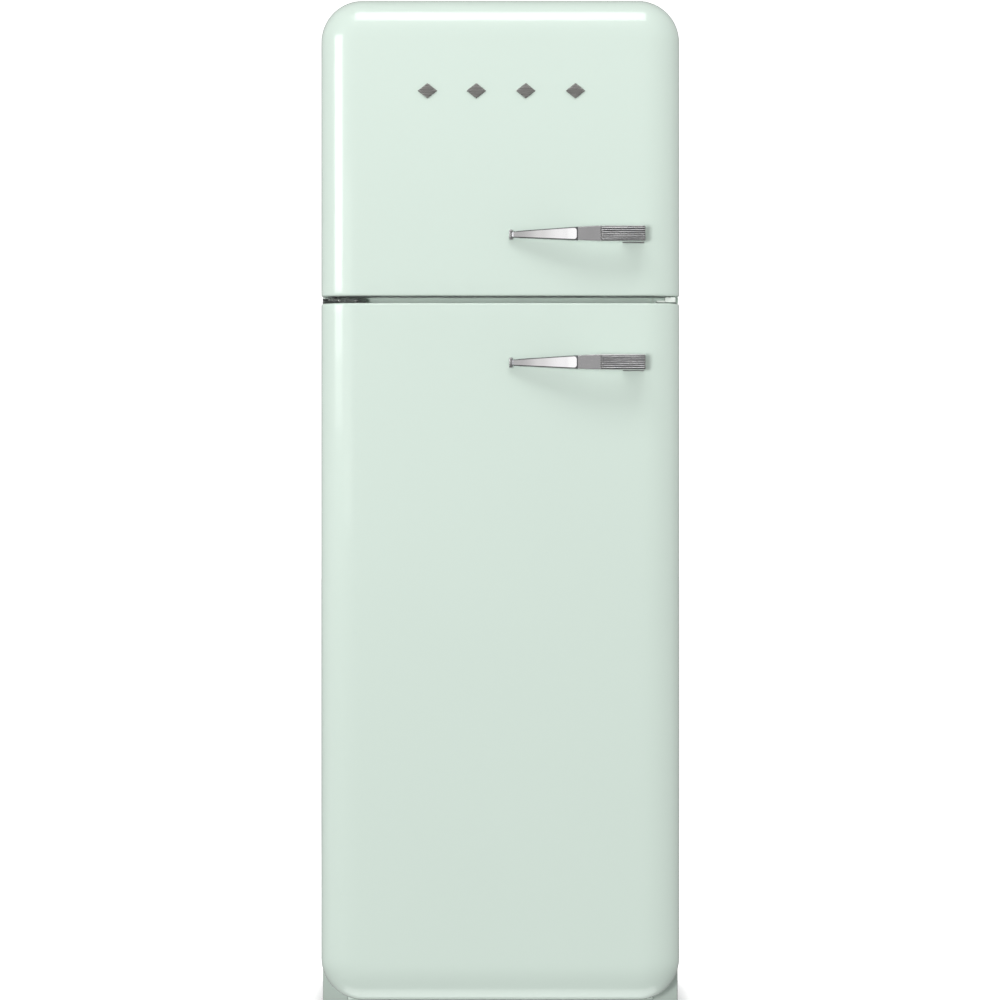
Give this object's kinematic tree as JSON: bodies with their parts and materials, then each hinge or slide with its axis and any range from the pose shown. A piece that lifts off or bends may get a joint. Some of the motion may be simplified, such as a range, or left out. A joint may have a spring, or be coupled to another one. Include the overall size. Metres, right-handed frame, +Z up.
{
  "type": "top freezer refrigerator",
  "caption": "Retro upright refrigerator with a freezer door above a taller fridge door, both cushion-shaped and hinged on the left, with tapered chrome lever handles.",
  "frame": {"origin": "on the floor under the centre of the object's bounding box", "axes": "+Z up, the doors face -Y, +X is the viewer's right when facing the doors"},
  "size_m": [0.601, 0.73, 1.72],
  "materials": {
    "mint_paint": "gloss pale mint-green enamel",
    "steel_grey": "galvanised grey sheet",
    "white_plastic": "white vacuum-formed or moulded plastic",
    "foam": "rigid foamed insulation",
    "gasket_grey": "soft matt light grey",
    "chrome": "bright polished chrome plate",
    "hinge_steel": "dark coated steel",
    "glass": "clear toughened glass",
    "clear_plastic": "clear moulded plastic",
    "black_paint": "satin black paint",
    "copper": "bare copper tube",
    "black_plastic": "matt black moulded plastic",
    "lamp_lens": "milky translucent lens"
  },
  "bodies": {
    "cabinet": {"cabinet_shell": "mint_paint", "centre_rail": "mint_paint", "plinth": "mint_paint", "rear_panel": "steel_grey", "base_tray": "steel_grey", "hinge_blank_cover": "white_plastic", "freezer_liner": "white_plastic", "fridge_liner": "white_plastic", "control_housing": "white_plastic", "evaporation_tray": "white_plastic", "insulation_upper": "foam", "insulation_middle": "foam", "insulation_base": "foam", "upper_hinge": "hinge_steel", "middle_hinge": "hinge_steel", "lower_hinge": "hinge_steel", "compressor": "black_paint", "condenser_coil": "black_paint", "suction_pipe": "copper", "condenser_rail_left": "black_plastic", "condenser_rail_right": "black_plastic", "lamp_lens": "lamp_lens"},
    "freezer_door": {"freezer_door_skin": "mint_paint", "freezer_door_end_cap": "white_plastic", "freezer_door_foam": "foam", "freezer_door_liner": "white_plastic", "freezer_door_gasket": "gasket_grey", "freezer_door_handle": "chrome", "freezer_bin_lower": "clear_plastic", "freezer_bin_upper": "clear_plastic", "badge_mark_1": "chrome", "badge_mark_2": "chrome", "badge_mark_3": "chrome", "badge_mark_4": "chrome"},
    "fridge_door": {"fridge_door_skin": "mint_paint", "fridge_door_end_cap": "white_plastic", "fridge_door_foam": "foam", "fridge_door_liner": "white_plastic", "fridge_door_gasket": "gasket_grey", "fridge_door_handle": "chrome", "bottle_bin": "clear_plastic", "door_bin_lower": "clear_plastic", "door_bin_upper": "clear_plastic", "dairy_box": "clear_plastic"},
    "dairy_lid": {"dairy_lid": "clear_plastic"},
    "thermostat_knob": {"thermostat_knob": "chrome"},
    "shelf_upper": {"shelf_upper": "glass", "shelf_upper_trim": "chrome"},
    "shelf_middle": {"shelf_middle": "glass", "shelf_middle_trim": "chrome"},
    "shelf_lower": {"shelf_lower": "glass", "shelf_lower_trim": "chrome"},
    "bottle_rack": {"bottle_rack": "chrome"},
    "crisper_cover": {"crisper_cover": "glass"},
    "crisper_drawer": {"crisper_drawer": "clear_plastic"},
    "freezer_shelf": {"freezer_shelf": "glass"},
    "foot_left": {"foot_left": "black_plastic"},
    "foot_right": {"foot_right": "black_plastic"},
    "roller_left": {"roller_left": "black_plastic"},
    "roller_right": {"roller_right": "black_plastic"}
  },
  "joints": [
    {"name": "freezer_door_hinge", "type": "hinge", "parent": "cabinet", "child": "freezer_door", "pos_m": [-0.2785, -0.261, 1.45], "axis": [0, 0, -1], "range_deg": [0, 110]},
    {"name": "fridge_door_hinge", "type": "hinge", "parent": "cabinet", "child": "fridge_door", "pos_m": [-0.2785, -0.261, 0.63], "axis": [0, 0, -1], "range_deg": [0, 110]},
    {"name": "dairy_lid_hinge", "type": "hinge", "parent": "fridge_door", "child": "dairy_lid", "pos_m": [0, -0.2275, 1.0203], "axis": [1, 0, 0], "range_deg": [0, 75]},
    {"name": "thermostat_turn", "type": "hinge", "parent": "cabinet", "child": "thermostat_knob", "pos_m": [0.075, -0.0505, 1.1735], "axis": [0, -1, 0], "range_deg": [-270, 0]},
    {"name": "shelf_upper_slide", "type": "slide", "parent": "cabinet", "child": "shelf_upper", "axis": [0, -1, 0], "range_m": [0, 0.05]},
    {"name": "shelf_middle_slide", "type": "slide", "parent": "cabinet", "child": "shelf_middle", "axis": [0, -1, 0], "range_m": [0, 0.05]},
    {"name": "shelf_lower_slide", "type": "slide", "parent": "cabinet", "child": "shelf_lower", "axis": [0, -1, 0], "range_m": [0, 0.05]},
    {"name": "bottle_rack_slide", "type": "slide", "parent": "cabinet", "child": "bottle_rack", "axis": [0, -1, 0], "range_m": [0, 0.05]},
    {"name": "crisper_cover_slide", "type": "slide", "parent": "cabinet", "child": "crisper_cover", "axis": [0, -1, 0], "range_m": [0, 0.05]},
    {"name": "crisper_drawer_slide", "type": "slide", "parent": "cabinet", "child": "crisper_drawer", "axis": [0, -1, 0], "range_m": [0, 0.035]},
    {"name": "freezer_shelf_slide", "type": "slide", "parent": "cabinet", "child": "freezer_shelf", "axis": [0, -1, 0], "range_m": [0, 0.05]},
    {"name": "foot_left_screw", "type": "slide", "parent": "cabinet", "child": "foot_left", "axis": [0, 0, -1], "range_m": [0, 0.012]},
    {"name": "foot_right_screw", "type": "slide", "parent": "cabinet", "child": "foot_right", "axis": [0, 0, -1], "range_m": [0, 0.012]},
    {"name": "roller_left_spin", "type": "hinge", "parent": "cabinet", "child": "roller_left", "pos_m": [-0.255, 0.3, 0.014], "axis": [1, 0, 0], "continuous": true},
    {"name": "roller_right_spin", "type": "hinge", "parent": "cabinet", "child": "roller_right", "pos_m": [0.255, 0.3, 0.014], "axis": [1, 0, 0], "continuous": true}
  ]
}
